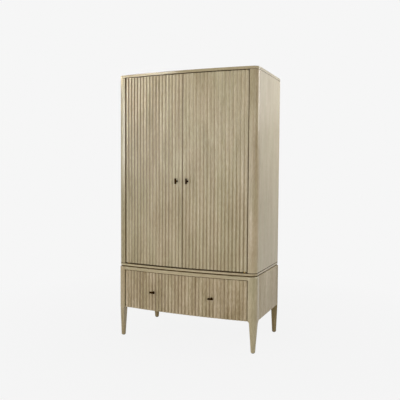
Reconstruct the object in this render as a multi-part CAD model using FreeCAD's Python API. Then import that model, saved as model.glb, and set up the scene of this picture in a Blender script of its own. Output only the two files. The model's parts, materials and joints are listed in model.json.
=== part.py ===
"""Two-door wardrobe with reeded, bow-fronted doors on a one-drawer base with tapered legs.

Millimetres. +Z is up, the front faces -Y, and the origin lies on the floor
below the middle of the overall box.
"""
import FreeCAD, Part
import math
import os

os.makedirs("parts", exist_ok=True)
V = FreeCAD.Vector

# Overall sizes
wardrobe_height = 2000.0
cabinet_width = 1108.0
cabinet_depth = 606.0
front_bow = 34.0
corner_radius = 45.0
base_reveal = 3.5

# Levels
leg_height = 230.0
base_height = 545.0
shadow_gap = 7.0
bottom_thickness = 19.0
top_thickness = 22.0

# Cabinet walls
stile_width = 61.0
stile_flat = 15.0
rear_post_flat = 10.0
side_thickness = 20.0
back_thickness = 10.0
back_inset = 5.0
shadow_recess = 6.0
shadow_strip_width = 40.0
top_edge_round = 3.0
base_edge_round = 10.0
seam_round = 1.2
top_seam = 2.0
floor_seam = 4.0
seam_recess = 3.0

# Reeded fronts
door_gap = 3.0
door_side_gap = 5.0
door_top_gap = 3.5
door_bottom_gap = 5.5
core_thickness = 20.0
reed_height = 6.0
reed_joint = 0.6
door_reed_count = 18
drawer_reed_count = 36

# Door pivots
pivot_setback = 20.0
pivot_depth = 8.0
pin_radius = 4.0
pin_reach = 12.0
pin_clearance = 0.05
bush_radius = 6.0
bush_length = 14.0
plate_length = 44.0
plate_width = 16.0
plate_thickness = 3.0
plate_clearance = 0.2
thrust_clearance = 0.1
plate_screw_offset = 15.0

# Door catches
catch_reed = 2
catch_width = 20.0
catch_depth = 14.0
catch_height = 24.0
strike_thickness = 1.5
strike_height = 30.0
strike_drop = 2.0
catch_clearance = 0.3

# Knobs
knob_reach = 34.0
bar_length = 41.0
bar_radius = 7.0
stem_radius = 5.0
stem_clearance = 0.1
knob_foot_radius = 6.8
knob_foot_top = 5.8
knob_foot_sink = 1.6
knob_foot_height = 3.0
door_knob_height = 1206.0
door_knob_reed = 1
drawer_knob_reed = 8
knob_screw_radius = 2.0
knob_screw_depth = 14.0
knob_screw_head_radius = 4.5
knob_screw_head_height = 2.5

# Shelf and hanging rail
shelf_level = 1700.0
shelf_thickness = 20.0
shelf_play = 1.0
pin_from_shelf_end = 60.0
shelf_pin_radius = 3.5
shelf_pin_depth = 12.0
shelf_tongue = 12.0
shelf_tongue_thickness = 4.0
rail_drop = 60.0
rail_radius = 12.5
rail_wall = 1.5
rail_play = 0.2
socket_flange_radius = 27.0
socket_flange_thickness = 4.0
socket_collar_radius = 16.0
socket_collar_length = 14.0
socket_screw_offset = 21.5

# Legs and base
leg_flat = 1.0
leg_edge = 2.0
foot_inset = 29.0
foot_radius = 16.0
foot_round = 5.0
foot_roundness = 0.98
leg_ear = 24.0
ear_lap = 6.0
glide_radius = 10.0
glide_height = 3.0
base_rail_height = 24.5
base_rail_depth = 25.0
lower_rail_depth = 22.0
lower_rail_height = 17.0
lower_rail_clearance = 2.0
base_board_thickness = 15.0
bolt_radius = 4.0
bolt_head_radius = 6.5
bolt_head_height = 5.3
bolt_bite = 12.0
bolt_from_post = 50.0

# Drawer
drawer_gap = 5.0
drawer_top_gap = 3.5
drawer_bottom_rise = 1.0
box_side = 15.0
box_height = 200.0
box_rise = 4.0
box_bottom = 8.0
box_bottom_rise = 8.0
box_length = 500.0

# Telescopic runners
runner_length = 480.0
runner_rise = 62.0
runner_height = 45.0
runner_width = 13.0
runner_wall = 1.2
runner_play = 0.4
runner_setback = 6.0
runner_screw_inset = 60.0
batten_height = 70.0

# Fasteners
screw_radius = 1.75
screw_head_radius = 3.4
screw_head_height = 2.2
screw_length = 16.0
hole_clearance = 0.05
dowel_radius = 4.0
dowel_top_bite = 12.0
dowel_post_bite = 26.0

# Plan of the bowed front: one arc across the cabinet, centred behind it
half_width = cabinet_width / 2
bow_radius = (half_width ** 2 + front_bow ** 2) / (2 * front_bow)
core_radius = bow_radius - reed_height
door_half = half_width - stile_width
base_half = half_width + base_reveal
base_bow_radius = bow_radius + base_reveal
base_core_radius = base_bow_radius - reed_height
base_corner = corner_radius + base_reveal
drawer_half = base_half - stile_width

# Angles of the reeds about the centre of the arc
door_first = math.asin(door_gap / 2 / core_radius)
door_last = math.asin((door_half - door_side_gap) / core_radius)
door_pitch = (door_last - door_first) / door_reed_count
drawer_last = math.asin((drawer_half - drawer_gap) / base_core_radius)
drawer_pitch = 2 * drawer_last / drawer_reed_count
door_knob_angle = door_first + (door_knob_reed + 0.5) * door_pitch
drawer_knob_angle = (drawer_knob_reed + 0.5) * drawer_pitch

# Depth: the door knobs are foremost and the back of the base is rearmost
bar_centre = bow_radius + knob_reach - bar_radius
knob_front = bar_centre * math.cos(door_knob_angle) + bar_radius - bow_radius
total_depth = knob_front + front_bow + cabinet_depth + base_reveal
corner_line = -total_depth / 2 + knob_front + front_bow
back_plane = corner_line + cabinet_depth
bow_centre = corner_line - front_bow + bow_radius
base_front = corner_line - base_reveal
base_back = back_plane + base_reveal

# Heights
bottom_level = base_height + shadow_gap
floor_level = bottom_level + bottom_thickness
ceiling_level = wardrobe_height - top_thickness
door_bottom = floor_level + door_bottom_gap
door_top = ceiling_level - door_top_gap
base_rail_level = base_height - base_rail_height
drawer_bottom = leg_height + drawer_bottom_rise
drawer_top = base_rail_level - drawer_top_gap
drawer_knob_height = (drawer_bottom + drawer_top) / 2

# Depths of the corner posts
stile_back = corner_line + corner_radius + stile_flat
rear_post_front = back_plane - corner_radius - rear_post_flat
base_post_back = base_front + base_corner + stile_flat
base_rear_post_front = base_back - base_corner - rear_post_flat
leg_width = base_corner + leg_edge + leg_flat


def export(node, *solids):
    """Write one node: a single solid, or a group of like solids."""
    shape = solids[0] if len(solids) == 1 else Part.makeCompound(list(solids))
    shape.exportStep("parts/" + node + ".step")


def one(shape):
    """The only solid of a boolean's result."""
    return shape.Solids[0]


def mirrored(shape):
    """The left-hand copy of a right-hand piece."""
    return shape.mirror(V(0, 0, 0), V(1, 0, 0))


def block(x_low, x_high, y_low, y_high, z_low, z_high):
    """A box between two corners."""
    return Part.makeBox(x_high - x_low, y_high - y_low, z_high - z_low, V(x_low, y_low, z_low))


def prism(points, z_low, z_high):
    """An upright prism on a polygon of plan points."""
    corners = [V(x, y, z_low) for x, y in points]
    wire = Part.makePolygon(corners + corners[:1])
    return Part.Face(wire).extrude(V(0, 0, z_high - z_low))


def bow_point(radius, angle):
    """The plan point at an angle on an arc about the bow's centre."""
    return radius * math.sin(angle), bow_centre - radius * math.cos(angle)


def bow_y(x, radius):
    """How far forward an arc about the bow's centre stands at x."""
    return bow_centre - math.sqrt(radius ** 2 - x ** 2)


def set_on_bow(shape, radius, angle, z):
    """Turn a piece modelled at the origin, facing -Y, to stand square on the bowed front."""
    turned = shape.copy()
    turned.rotate(V(0, 0, 0), V(0, 0, 1), math.degrees(angle))
    x, y = bow_point(radius, angle)
    turned.translate(V(x, y, z))
    return turned


def plan_block(inset, z_low, z_high):
    """The cabinet's plan drawn in by an inset: bowed front, straight sides and back, round corners."""
    front = bow_radius - inset
    side = half_width - inset
    rear = back_plane - inset
    corner = corner_radius - inset
    corner_x = side - corner
    front_corner_y = bow_centre - math.sqrt((front - corner) ** 2 - corner_x ** 2)
    rear_corner_y = rear - corner
    touch = front / (front - corner)
    touch_x = corner_x * touch
    touch_y = bow_centre + (front_corner_y - bow_centre) * touch
    half_turn = (math.pi / 2 + math.asin(corner_x / (front - corner))) / 2
    mid_x = corner_x + corner * math.sin(half_turn)
    mid_y = front_corner_y - corner * math.cos(half_turn)
    rear_mid_x = corner_x + corner * math.sqrt(0.5)
    rear_mid_y = rear_corner_y + corner * math.sqrt(0.5)

    def at(x, y):
        return V(x, y, z_low)

    edges = [
        Part.Arc(at(-touch_x, touch_y), at(0, bow_centre - front), at(touch_x, touch_y)),
        Part.Arc(at(touch_x, touch_y), at(mid_x, mid_y), at(side, front_corner_y)),
        Part.LineSegment(at(side, front_corner_y), at(side, rear_corner_y)),
        Part.Arc(at(side, rear_corner_y), at(rear_mid_x, rear_mid_y), at(corner_x, rear)),
        Part.LineSegment(at(corner_x, rear), at(-corner_x, rear)),
        Part.Arc(at(-corner_x, rear), at(-rear_mid_x, rear_mid_y), at(-side, rear_corner_y)),
        Part.LineSegment(at(-side, rear_corner_y), at(-side, front_corner_y)),
        Part.Arc(at(-side, front_corner_y), at(-mid_x, mid_y), at(-touch_x, touch_y)),
    ]
    wire = Part.Wire([edge.toShape() for edge in edges])
    return Part.Face(wire).extrude(V(0, 0, z_high - z_low))


def round_rim(shape, z, radius):
    """Round the edges of a board that lie at one level."""
    rim = [edge for edge in shape.Edges if all(abs(vertex.Z - z) < 1e-6 for vertex in edge.Vertexes)]
    return one(shape.makeFillet(radius, rim))


def rim_groove(z_low, z_high):
    """The groove that sets a board off from the posts and sides beside it."""
    return one(plan_block(0, z_low, z_high).cut(plan_block(seam_recess, z_low, z_high)))


def bowed_panel(front, thickness, angles, z_low, z_high):
    """A panel of constant thickness with one flat facet under each reed."""
    outer = [bow_point(front, angle) for angle in angles]
    inner = [bow_point(front - thickness, angle) for angle in reversed(angles)]
    return prism(outer + inner, z_low, z_high)


def reed(front, first, last, z_low, z_high):
    """One half-round strip glued on the facet between two angles."""
    start = V(*bow_point(front, first), z_low)
    end = V(*bow_point(front, last), z_low)
    along = (end - start).normalize()
    outward = V(along.y, -along.x, 0)
    start = start + along * (reed_joint / 2)
    end = end - along * (reed_joint / 2)
    crest = (start + end) * 0.5 + outward * reed_height
    wire = Part.Wire([Part.LineSegment(start, end).toShape(), Part.Arc(end, crest, start).toShape()])
    return Part.Face(wire).extrude(V(0, 0, z_high - z_low))


def screw(point, direction, extra=0.0):
    """A countersunk screw with its head's face at a point; extra opens it up into its hole."""
    neck = screw_radius + extra
    head = Part.makeCone(screw_head_radius + extra, neck, screw_head_height, point, direction)
    return one(head.fuse(Part.makeCylinder(neck, screw_length + extra, point, direction)))


def drilled(shape, places):
    """Cut the holes of several screws, each a point and a direction."""
    return one(shape.cut([screw(point, direction, hole_clearance) for point, direction in places]))


# Cabinet corner posts: solid, rounded outside, between the bottom board and the top panel
cabinet_shell = plan_block(0, floor_level, ceiling_level)
stile = one(cabinet_shell.common(
    block(door_half, half_width, bow_centre - bow_radius, stile_back, floor_level, ceiling_level)))
rear_post_width = corner_radius + rear_post_flat
rear_post_x = half_width - rear_post_width
rear_post = one(cabinet_shell.common(
    block(rear_post_x, half_width, rear_post_front, back_plane, floor_level, ceiling_level)))

# Dowels that locate the posts in the boards above and below
dowel_x = half_width - corner_radius / 2
dowel_places = [(dowel_x, (corner_line + stile_back) / 2), (dowel_x, (rear_post_front + back_plane) / 2)]
dowel_length = dowel_top_bite + dowel_post_bite


def dowels(extra):
    """The dowels of both ends of all four posts; extra opens them up into their holes."""
    pegs = []
    for x, y in dowel_places:
        for side in (-x, x):
            for low in (floor_level - dowel_top_bite, ceiling_level - dowel_post_bite):
                foot = V(side, y, low - extra)
                pegs.append(Part.makeCylinder(dowel_radius + extra, dowel_length + 2 * extra, foot))
    return pegs


dowel_holes = dowels(hole_clearance)
stile = one(stile.cut(dowel_holes))
rear_post = one(rear_post.cut(dowel_holes))
export("carcass_dowels", *dowels(0))
export("right_front_stile", stile)
export("left_front_stile", mirrored(stile))
export("right_rear_post", rear_post)
export("left_rear_post", mirrored(rear_post))

# Pivot plates let into the boards above and below each door, with a pin into the door's end
pivot_angle = math.asin((door_half - door_side_gap - pivot_setback) / core_radius)
pivot_x, pivot_y = bow_point(core_radius - pivot_depth, pivot_angle)


def pivot_plate(z_low, extra):
    """The plate of one pivot; extra opens it up into its pocket."""
    long_half = plate_length / 2 + extra
    wide_half = plate_width / 2 + extra
    return block(pivot_x - long_half, pivot_x + long_half, pivot_y - wide_half, pivot_y + wide_half,
                 z_low, z_low + plate_thickness)


def plate_screws(level, direction):
    """The places of a plate's two screws."""
    steps = (-plate_screw_offset, plate_screw_offset)
    return [(V(pivot_x + step, pivot_y, level), direction) for step in steps]


top_screws = plate_screws(ceiling_level, V(0, 0, 1))
bottom_screws = plate_screws(floor_level, V(0, 0, -1))
top_pin_length = door_top_gap + pin_reach
bottom_pin_length = door_bottom_gap + pin_reach
top_plate = pivot_plate(ceiling_level, 0)
top_pin = Part.makeCylinder(pin_radius, top_pin_length, V(pivot_x, pivot_y, ceiling_level - top_pin_length))
top_pivot = drilled(one(top_plate.fuse(top_pin)), top_screws)
bottom_plate = pivot_plate(floor_level - plate_thickness, 0)
bottom_pin = Part.makeCylinder(pin_radius, bottom_pin_length, V(pivot_x, pivot_y, floor_level))
collar = Part.makeCylinder(bush_radius, door_bottom_gap - thrust_clearance, V(pivot_x, pivot_y, floor_level))
bottom_pivot = drilled(one(bottom_plate.fuse([bottom_pin, collar])), bottom_screws)
pivot_screws = [screw(point, direction) for point, direction in top_screws + bottom_screws]
export("top_pivots", top_pivot, mirrored(top_pivot))
export("bottom_pivots", bottom_pivot, mirrored(bottom_pivot))
export("pivot_screws", *pivot_screws, *[mirrored(peg) for peg in pivot_screws])


def with_pivot_seats(board, pocket, places):
    """Cut the pockets and screw holes of the right and left pivots into a board."""
    tools = [pocket] + [screw(point, direction, hole_clearance) for point, direction in places]
    return one(board.cut(tools + [mirrored(tool) for tool in tools]))


# Top panel: one board over the posts, flush all round, with a soft upper edge and a fine groove over the posts
top_panel = round_rim(plan_block(0, ceiling_level, wardrobe_height), wardrobe_height, top_edge_round)
top_panel = top_panel.cut(rim_groove(ceiling_level, ceiling_level + top_seam))
top_panel = with_pivot_seats(top_panel, pivot_plate(ceiling_level, plate_clearance), top_screws)
export("top_panel", one(top_panel.cut(dowel_holes)))

# Base bolts draw the cabinet down on the base through the shadow-gap strips
bolt_x = half_width - shadow_recess - shadow_strip_width / 2
bolt_places = [(side, y) for side in (-bolt_x, bolt_x)
               for y in (base_post_back + bolt_from_post, base_rear_post_front - bolt_from_post)]
bolt_start = base_height - base_board_thickness
bolt_length = base_board_thickness + shadow_gap + bolt_bite


def bolts(extra):
    """The shanks of the four base bolts; extra opens them up into their holes."""
    return [Part.makeCylinder(bolt_radius + extra, bolt_length + extra, V(x, y, bolt_start))
            for x, y in bolt_places]


bolt_holes = bolts(hole_clearance)
bolt_heads = [Part.makeCylinder(bolt_head_radius, bolt_head_height, V(x, y, bolt_start - bolt_head_height))
              for x, y in bolt_places]
export("base_bolts", *[one(head.fuse(shank)) for head, shank in zip(bolt_heads, bolts(0))])

# Bottom board: carries the posts, the sides and the doors' lower pivots
bottom_board = round_rim(plan_block(0, bottom_level, floor_level), bottom_level, seam_round)
bottom_board = bottom_board.cut(rim_groove(floor_level - floor_seam, floor_level))
lower_pocket = pivot_plate(floor_level - plate_thickness, plate_clearance)
bottom_board = with_pivot_seats(bottom_board, lower_pocket, bottom_screws)
export("bottom_board", one(bottom_board.cut(dowel_holes + bolt_holes)))

# Hanging rail and the sockets that carry its ends
side_inner = half_width - side_thickness
rail_y = (stile_back + rear_post_front) / 2
rail_z = shelf_level - rail_drop
rail_half = side_inner - socket_flange_thickness
rail_start = V(-rail_half, rail_y, rail_z)
rail_outside = Part.makeCylinder(rail_radius, 2 * rail_half, rail_start, V(1, 0, 0))
rail_inside = Part.makeCylinder(rail_radius - rail_wall, 2 * rail_half, rail_start, V(1, 0, 0))
export("hanging_rail", one(rail_outside.cut(rail_inside)))

socket_face = V(side_inner, rail_y, rail_z)
socket_screw_places = [(V(rail_half, rail_y, rail_z + step), V(1, 0, 0))
                       for step in (-socket_screw_offset, socket_screw_offset)]
flange = Part.makeCylinder(socket_flange_radius, socket_flange_thickness, socket_face, V(-1, 0, 0))
rim_length = socket_flange_thickness + socket_collar_length
socket_rim = Part.makeCylinder(socket_collar_radius, rim_length, socket_face, V(-1, 0, 0))
socket_seat = Part.makeCylinder(rail_radius + rail_play, socket_collar_length, V(rail_half, rail_y, rail_z),
                                V(-1, 0, 0))
socket = drilled(one(flange.fuse(socket_rim).cut(socket_seat)), socket_screw_places)
socket_screws = [screw(point, direction) for point, direction in socket_screw_places]
export("rail_sockets", socket, mirrored(socket))
export("socket_screws", *socket_screws, *[mirrored(peg) for peg in socket_screws])

# Hat shelf on four pins
shelf_half = side_inner - shelf_play
shelf_front = stile_back + shelf_play
shelf_back = rear_post_front - shelf_play
export("hat_shelf", block(-shelf_half, shelf_half, shelf_front, shelf_back, shelf_level,
                          shelf_level + shelf_thickness))
shelf_pin_z = shelf_level - shelf_pin_radius


def shelf_pins(extra):
    """The right-hand pins' shanks; extra opens them up into their holes."""
    return [Part.makeCylinder(shelf_pin_radius + extra, shelf_pin_depth + extra,
                              V(side_inner, y, shelf_pin_z), V(1, 0, 0))
            for y in (shelf_front + pin_from_shelf_end, shelf_back - pin_from_shelf_end)]


def shelf_tongue_at(y):
    """The flat tongue of a pin, on which the shelf lies."""
    half = shelf_tongue / 2
    return block(side_inner - shelf_tongue, side_inner, y - half, y + half,
                 shelf_level - shelf_tongue_thickness, shelf_level)


pins = []
for shank in shelf_pins(0):
    upper_half = shank.common(block(side_inner, half_width, shelf_front, shelf_back, 0, shelf_level))
    pins.append(one(upper_half.fuse(shelf_tongue_at(shank.CenterOfMass.y))))
export("shelf_pins", *pins, *[mirrored(pin) for pin in pins])

# Side panels between the posts, flush outside
side_panel = block(side_inner, half_width, stile_back, rear_post_front, floor_level, ceiling_level)
side_panel = drilled(one(side_panel.cut(shelf_pins(hole_clearance))), socket_screw_places)
export("right_side_panel", side_panel)
export("left_side_panel", mirrored(side_panel))

# Back panel between the rear posts
export("back_panel", block(-rear_post_x, rear_post_x, back_plane - back_inset - back_thickness,
                           back_plane - back_inset, floor_level, ceiling_level))

# Magnetic catches under the top panel, and a strike plate on the back of each door
catch_angle = door_first + (catch_reed + 0.5) * door_pitch
door_back_radius = (core_radius - core_thickness) * math.cos(door_pitch / 2)
strike = block(-catch_width / 2, catch_width / 2, 0, strike_thickness, 0, strike_height)
strike = set_on_bow(strike, door_back_radius, catch_angle, door_top - strike_drop - strike_height)
catch_radius = door_back_radius - strike_thickness - catch_clearance
catch = block(-catch_width / 2, catch_width / 2, 0, catch_depth, 0, catch_height)
catch = set_on_bow(catch, catch_radius, catch_angle, ceiling_level - catch_height)
export("door_catches", catch, mirrored(catch))

# Knobs: a round bar across a short stem with a wider foot, held by a screw through the panel
facet_sink = math.cos(door_pitch / 2)
drawer_facet_sink = math.cos(drawer_pitch / 2)
stem_length = reed_height + knob_reach - bar_radius
bar_end = bar_radius / 3
foot_level = reed_height - knob_foot_sink


def knob(axis):
    """A knob at the origin, its stem along -Y from the panel and its bar along an axis."""
    bar = Part.makeCylinder(bar_radius, bar_length, V(0, -stem_length, 0) - axis * (bar_length / 2), axis)
    bar = one(bar.makeFillet(bar_end, [edge for edge in bar.Edges if edge.Closed]))
    stem = Part.makeCylinder(stem_radius, stem_length, V(0, 0, 0), V(0, -1, 0))
    foot = Part.makeCone(knob_foot_radius, knob_foot_top, knob_foot_sink + knob_foot_height, V(0, -foot_level, 0),
                         V(0, -1, 0))
    return one(bar.fuse([stem, foot]).cut(knob_screw_shank(hole_clearance)))


def knob_screw_shank(extra):
    """The shank of a knob's screw, from the back of the panel into the stem."""
    start = V(0, core_thickness, 0)
    length = core_thickness + knob_screw_depth + extra
    return Part.makeCylinder(knob_screw_radius + extra, length, start, V(0, -1, 0))


def knob_screw():
    """The whole screw, its head on the back of the panel."""
    start = V(0, core_thickness, 0)
    head = Part.makeCylinder(knob_screw_head_radius, knob_screw_head_height, start, V(0, 1, 0))
    return one(head.fuse(knob_screw_shank(0)))


def stem_hole():
    """The hole that a knob needs in its reed: one for the stem and a flat seat for the foot."""
    hole = Part.makeCylinder(stem_radius + stem_clearance, stem_length, V(0, 0, 0), V(0, -1, 0))
    seat = Part.makeCylinder(knob_foot_radius + stem_clearance, stem_length, V(0, -foot_level, 0), V(0, -1, 0))
    return one(hole.fuse(seat))


# Doors: a bowed core with vertical half-round reeds glued on it
def seat_on_door(shape):
    """Stand a knob piece on the door, square to its reed."""
    return set_on_bow(shape, core_radius * facet_sink, door_knob_angle, door_knob_height)


door_angles = [door_first + index * door_pitch for index in range(door_reed_count + 1)]
door_core = bowed_panel(core_radius, core_thickness, door_angles, door_bottom, door_top)
bushes = []
bush_holes = []
for low in (door_bottom, door_top - bush_length):
    foot = V(pivot_x, pivot_y, low)
    sleeve = Part.makeCylinder(bush_radius, bush_length, foot)
    bushes.append(one(sleeve.cut(Part.makeCylinder(pin_radius + pin_clearance, bush_length, foot))))
    bush_holes.append(Part.makeCylinder(bush_radius + hole_clearance, bush_length, foot))
door_core = one(door_core.cut(bush_holes + [seat_on_door(knob_screw_shank(hole_clearance))]))
door_reeds = [reed(core_radius, first, last, door_bottom, door_top)
              for first, last in zip(door_angles, door_angles[1:])]
door_reeds[door_knob_reed] = one(door_reeds[door_knob_reed].cut(seat_on_door(stem_hole())))
door_knob = seat_on_door(knob(V(0, 0, 1)))
door_knob_screw = seat_on_door(knob_screw())

export("right_door_core", door_core)
export("right_door_reeds", *door_reeds)
export("right_door_bushes", *bushes)
export("right_door_strike", strike)
export("right_door_knob", door_knob)
export("right_door_knob_screw", door_knob_screw)
export("left_door_core", mirrored(door_core))
export("left_door_reeds", *[mirrored(strip) for strip in door_reeds])
export("left_door_bushes", *[mirrored(bush) for bush in bushes])
export("left_door_strike", mirrored(strike))
export("left_door_knob", mirrored(door_knob))
export("left_door_knob_screw", mirrored(door_knob_screw))

# Strips that hold the cabinet off the base and leave the shadow gap
strip_inner = shadow_recess + shadow_strip_width
strip_ring = plan_block(shadow_recess, base_height, bottom_level)
ring_hole = block(-half_width + strip_inner, half_width - strip_inner, corner_line + strip_inner,
                  back_plane - strip_inner, base_height, bottom_level)
strip_ring = one(strip_ring.cut(ring_hole))
strip_zones = [
    (-half_width, half_width, bow_centre - bow_radius, corner_line + strip_inner),
    (-half_width, half_width, back_plane - strip_inner, back_plane),
    (-half_width, -half_width + strip_inner, corner_line + strip_inner, back_plane - strip_inner),
    (half_width - strip_inner, half_width, corner_line + strip_inner, back_plane - strip_inner),
]
strips = [one(strip_ring.common(block(*zone, base_height, bottom_level))) for zone in strip_zones]
export("shadow_strips", *[one(strip.cut(bolt_holes)) for strip in strips])

# Legs: each runs up as a corner post of the base, and tapers below it to a round foot
base_shell = round_rim(plan_block(-base_reveal, leg_height, base_height), base_height, base_edge_round)
foot_x = base_half - foot_inset
leg_x = base_half - leg_width


def rounded_section(corners, radii, z):
    """A closed outline of straight runs and tangent corner arcs at one level."""
    edges = []
    ends = []
    count = len(corners)
    for index, radius in enumerate(radii):
        here = V(*corners[index], z)
        back = (V(*corners[index - 1], z) - here).normalize()
        ahead = (V(*corners[(index + 1) % count], z) - here).normalize()
        half_angle = back.getAngle(ahead) / 2
        tangent = radius / math.tan(half_angle)
        middle = (back + ahead).normalize() * (radius / math.sin(half_angle) - radius)
        ends.append((here + back * tangent, here + middle, here + ahead * tangent))
    for index, (start, middle, end) in enumerate(ends):
        edges.append(Part.Arc(start, middle, end).toShape())
        edges.append(Part.LineSegment(end, ends[(index + 1) % count][0]).toShape())
    return Part.Wire(edges)


def foot_section(corners, y, radius, z):
    """The nearly round outline of a foot, its corners in the order of the leg's top."""
    middle_x = sum(x for x, _ in corners) / len(corners)
    middle_y = sum(y for _, y in corners) / len(corners)
    square = [(foot_x + math.copysign(radius, x - middle_x), y + math.copysign(radius, corner_y - middle_y))
              for x, corner_y in corners]
    return rounded_section(square, [radius * foot_roundness] * len(corners), z)


def tapered_leg(corners, foot_y):
    """The free part of a leg, from the base down to its rounded foot; the second corner is the outer one."""
    sections = [rounded_section(corners, [leg_edge, base_corner, leg_edge, leg_edge], leg_height)]
    for degrees in (0, 30, 60, 90):
        turn = math.radians(degrees)
        radius = foot_radius - foot_round * (1 - math.cos(turn))
        level = glide_height + foot_round * (1 - math.sin(turn))
        sections.append(foot_section(corners, foot_y, radius, level))
    return one(Part.makeLoft(sections, True, True))


def concave_ear(size, corner, along, across):
    """A concave corner piece that runs along a lower edge from a leg, as thick as the vector across."""
    bend = size * (1 - math.sqrt(0.5))
    down = V(0, 0, -1)
    root = corner - along * ear_lap
    tip = corner + along * size
    toe = corner + down * size
    edges = [
        Part.LineSegment(root, tip),
        Part.Arc(tip, corner + along * bend + down * bend, toe),
        Part.LineSegment(toe, root + down * size),
        Part.LineSegment(root + down * size, root),
    ]
    return Part.Face(Part.Wire([edge.toShape() for edge in edges])).extrude(across)


def side_ear(leg_face, facing):
    """The ear between a leg and the side panel's lower edge, leaning in with the leg."""
    inner = base_half - side_thickness
    ear = concave_ear(leg_ear, V(inner, leg_face, leg_height), V(0, facing, 0), V(side_thickness, 0, 0))
    lean = (foot_inset - foot_radius) / (leg_height - glide_height - foot_round) * leg_ear
    low = leg_height - leg_ear
    taper = [V(inner, -cabinet_depth, leg_height), V(base_half, -cabinet_depth, leg_height),
             V(base_half - lean, -cabinet_depth, low), V(inner, -cabinet_depth, low)]
    wedge = Part.Face(Part.makePolygon(taper + taper[:1])).extrude(V(0, 2 * cabinet_depth, 0))
    return one(ear.common(wedge))


front_post = one(base_shell.common(
    block(drawer_half, base_half, base_front - front_bow, base_post_back, leg_height, base_height)))
front_in = bow_y(leg_x, base_bow_radius)
front_slope = (front_in - bow_y(drawer_half, base_bow_radius)) / (leg_x - drawer_half)
leg_back = base_front + leg_width
front_corners = [(leg_x, front_in), (base_half, front_in + front_slope * leg_width),
                 (base_half, leg_back), (leg_x, leg_back)]
front_foot_y = base_front + foot_inset
post_step = leg_x - drawer_half
step_corner = V(leg_x, leg_back, leg_height)
step_ear = concave_ear(post_step, step_corner, V(-1, 0, 0), V(0, -leg_width - front_bow, 0))
step_ear = one(step_ear.common(plan_block(-base_reveal, leg_height - post_step, leg_height)))
front_leg = one(front_post.fuse([tapered_leg(front_corners, front_foot_y), side_ear(leg_back, 1), step_ear]))
export("front_right_leg", front_leg)
export("front_left_leg", mirrored(front_leg))

rear_post_base = one(base_shell.common(
    block(leg_x, base_half, base_rear_post_front, base_back, leg_height, base_height)))
rear_leg_face = base_back - leg_width
rear_corners = [(base_half, rear_leg_face), (base_half, base_back),
                (leg_x, base_back), (leg_x, rear_leg_face)]
rear_foot_y = base_back - foot_inset
rear_leg = one(rear_post_base.fuse([tapered_leg(rear_corners, rear_foot_y), side_ear(rear_leg_face, -1)]))
export("rear_right_leg", rear_leg)
export("rear_left_leg", mirrored(rear_leg))

# Glides under the feet
glides = [Part.makeCylinder(glide_radius, glide_height, V(x, y, 0))
          for x in (-foot_x, foot_x) for y in (front_foot_y, rear_foot_y)]
export("foot_glides", *glides)

# Base sides, back, front rail, hidden lower rail and the board that closes the base
base_side_inner = base_half - side_thickness
base_side = one(base_shell.common(
    block(base_side_inner, base_half, base_post_back, base_rear_post_front, leg_height, base_height)))
export("right_base_side", base_side)
export("left_base_side", mirrored(base_side))
base_back_front = base_back - back_inset - back_thickness
base_back_rear = base_back - back_inset
export("base_back", block(-leg_x, leg_x, base_back_front, base_back_rear, leg_height, base_height))
base_apex = base_front - front_bow
rail_zone = block(-drawer_half, drawer_half, base_apex, base_post_back, base_rail_level, base_height)
rail_back = base_bow_radius - base_rail_depth
behind_rail = Part.makeCylinder(rail_back, base_height, V(0, bow_centre, 0))
export("base_front_rail", one(base_shell.common(rail_zone).cut(behind_rail)))
drawer_core_end = bow_y(drawer_half - drawer_gap, base_core_radius) + core_thickness
lower_rail_front = drawer_core_end + lower_rail_clearance
lower_rail_back = lower_rail_front + lower_rail_depth
lower_rail_top = drawer_bottom + lower_rail_height
export("base_lower_rail",
       block(-drawer_half, drawer_half, lower_rail_front, lower_rail_back, drawer_bottom, lower_rail_top))
board_zone = block(-base_side_inner, base_side_inner, base_apex, base_back_front, bolt_start, base_height)
board_posts = [block(drawer_half, base_half, base_apex, base_post_back, bolt_start, base_height),
               block(leg_x, base_half, base_rear_post_front, base_back, bolt_start, base_height)]
base_board = board_zone.common(behind_rail)
base_board = base_board.cut(board_posts + [mirrored(post) for post in board_posts] + bolt_holes)
export("base_top_board", one(base_board))

# Battens that bring the runners level with the front posts
box_low = lower_rail_top + box_rise
runner_level = box_low + runner_rise
batten_low = runner_level - batten_height / 2
batten = block(drawer_half, base_side_inner, base_post_back, base_rear_post_front, batten_low,
               batten_low + batten_height)


# Telescopic runners: a channel on the cabinet, one between, and one on the drawer
def channel(web_x, mouth_x, height, start):
    """A channel along Y with its web on one side and its flanges reaching to its mouth."""
    low_x, high_x = sorted((web_x, mouth_x))
    half = height / 2
    bar = block(low_x, high_x, start, start + runner_length, runner_level - half, runner_level + half)
    web_inner = web_x + math.copysign(runner_wall, mouth_x - web_x)
    low_x, high_x = sorted((web_inner, mouth_x))
    hollow = block(low_x, high_x, start, start + runner_length, runner_level - half + runner_wall,
                   runner_level + half - runner_wall)
    return one(bar.cut(hollow))


runner_step = runner_wall + runner_play
runner_start = lower_rail_front + runner_setback
box_outer = drawer_half - runner_width
outer_runner = channel(drawer_half, box_outer + runner_step, runner_height, runner_start)
middle_height = runner_height - 2 * runner_step
inner_height = middle_height - 2 * runner_step
middle_runner = channel(drawer_half - runner_step, box_outer + runner_step, middle_height, runner_start)
inner_runner = channel(box_outer, drawer_half - 2 * runner_step, inner_height, runner_start)
runner_screw_ys = (runner_start + runner_screw_inset, runner_start + runner_length / 2,
                   runner_start + runner_length - runner_screw_inset)


def runner_screw(x, y, direction, extra):
    """A flat screw through a runner's web; extra opens it up into its hole."""
    neck = screw_radius + extra
    point = V(x, y, runner_level)
    head = Part.makeCone(screw_head_radius + extra, neck, runner_wall, point, direction)
    return one(head.fuse(Part.makeCylinder(neck, runner_wall + box_side / 2 + extra, point, direction)))


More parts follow.
